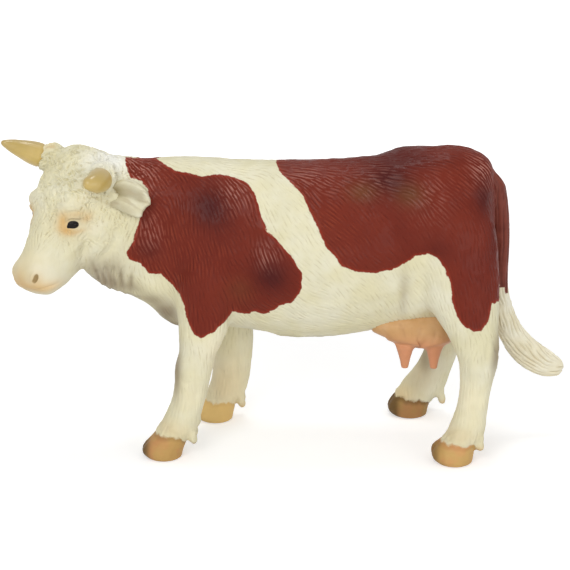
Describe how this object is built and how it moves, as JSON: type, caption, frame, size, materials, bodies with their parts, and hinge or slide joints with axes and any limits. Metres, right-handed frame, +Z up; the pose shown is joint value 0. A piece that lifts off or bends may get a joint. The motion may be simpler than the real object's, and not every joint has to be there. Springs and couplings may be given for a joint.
{
  "type": "toy farm animal figure",
  "caption": "Solid moulded toy cow in a walking stance with its head turned, with horns, ears, udder and tufted tail glued on by round pegs.",
  "frame": {"origin": "middle of the outer box at the level of the soles", "axes": "+Z up, -X the way the cow walks, -Y its left side"},
  "size_m": [0.1408, 0.043, 0.0785],
  "materials": {
    "cream_body": "painted",
    "cream_head": "painted",
    "cream_ears": "painted",
    "cream_legs": "painted",
    "tan_horns": "painted",
    "peach_udder": "painted",
    "brown_tail": "painted"
  },
  "bodies": {
    "root": {"trunk": "cream_body", "head": "cream_head", "left_ear": "cream_ears", "right_ear": "cream_ears", "left_horn": "tan_horns", "right_horn": "tan_horns", "left_foreleg": "cream_legs", "right_foreleg": "cream_legs", "left_hind_leg": "cream_legs", "right_hind_leg": "cream_legs", "udder": "peach_udder", "tail": "brown_tail"}
  },
  "joints": []
}
